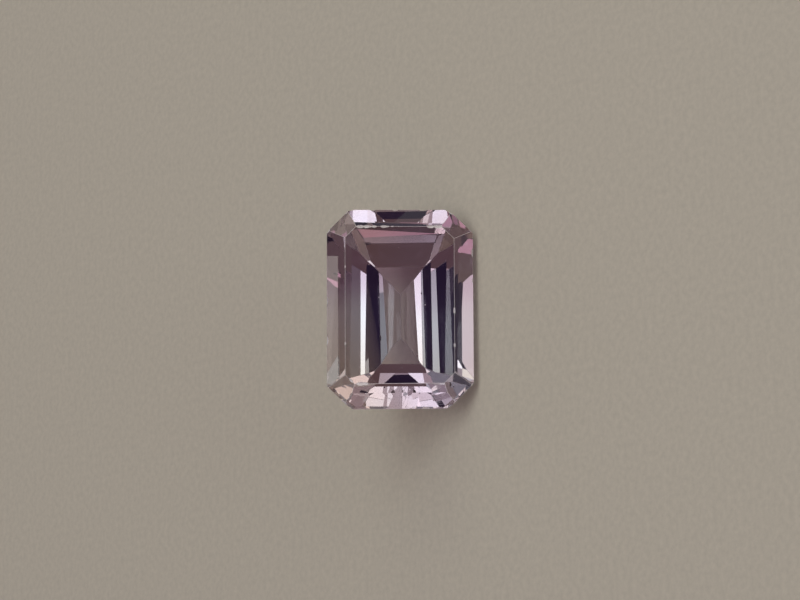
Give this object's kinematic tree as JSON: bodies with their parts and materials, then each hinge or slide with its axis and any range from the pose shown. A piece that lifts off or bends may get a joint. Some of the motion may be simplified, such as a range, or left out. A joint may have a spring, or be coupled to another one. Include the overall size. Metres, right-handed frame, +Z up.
{
  "type": "step-cut ametrine",
  "caption": "Loose faceted quartz gem, pale lilac with a honey-coloured end, cut as a long step-cut rectangle with clipped corners, for setting in jewellery or for display.",
  "frame": {"origin": "middle of the bounding box on the surface that the stone lies on, just beside the middle of its rest facet", "axes": "+X along the stone's length towards its head, which is the upper end in the picture; +Y away from the side that the table faces; +Z up, with the table's normal leaning from +Z towards -Y"},
  "size_m": [0.0084, 0.0048, 0.0048],
  "materials": {
    "ametrine_quartz": "polished, clear, pale lilac shading to pale honey at one end"
  },
  "bodies": {
    "root": {"ametrine": "ametrine_quartz"}
  },
  "joints": []
}
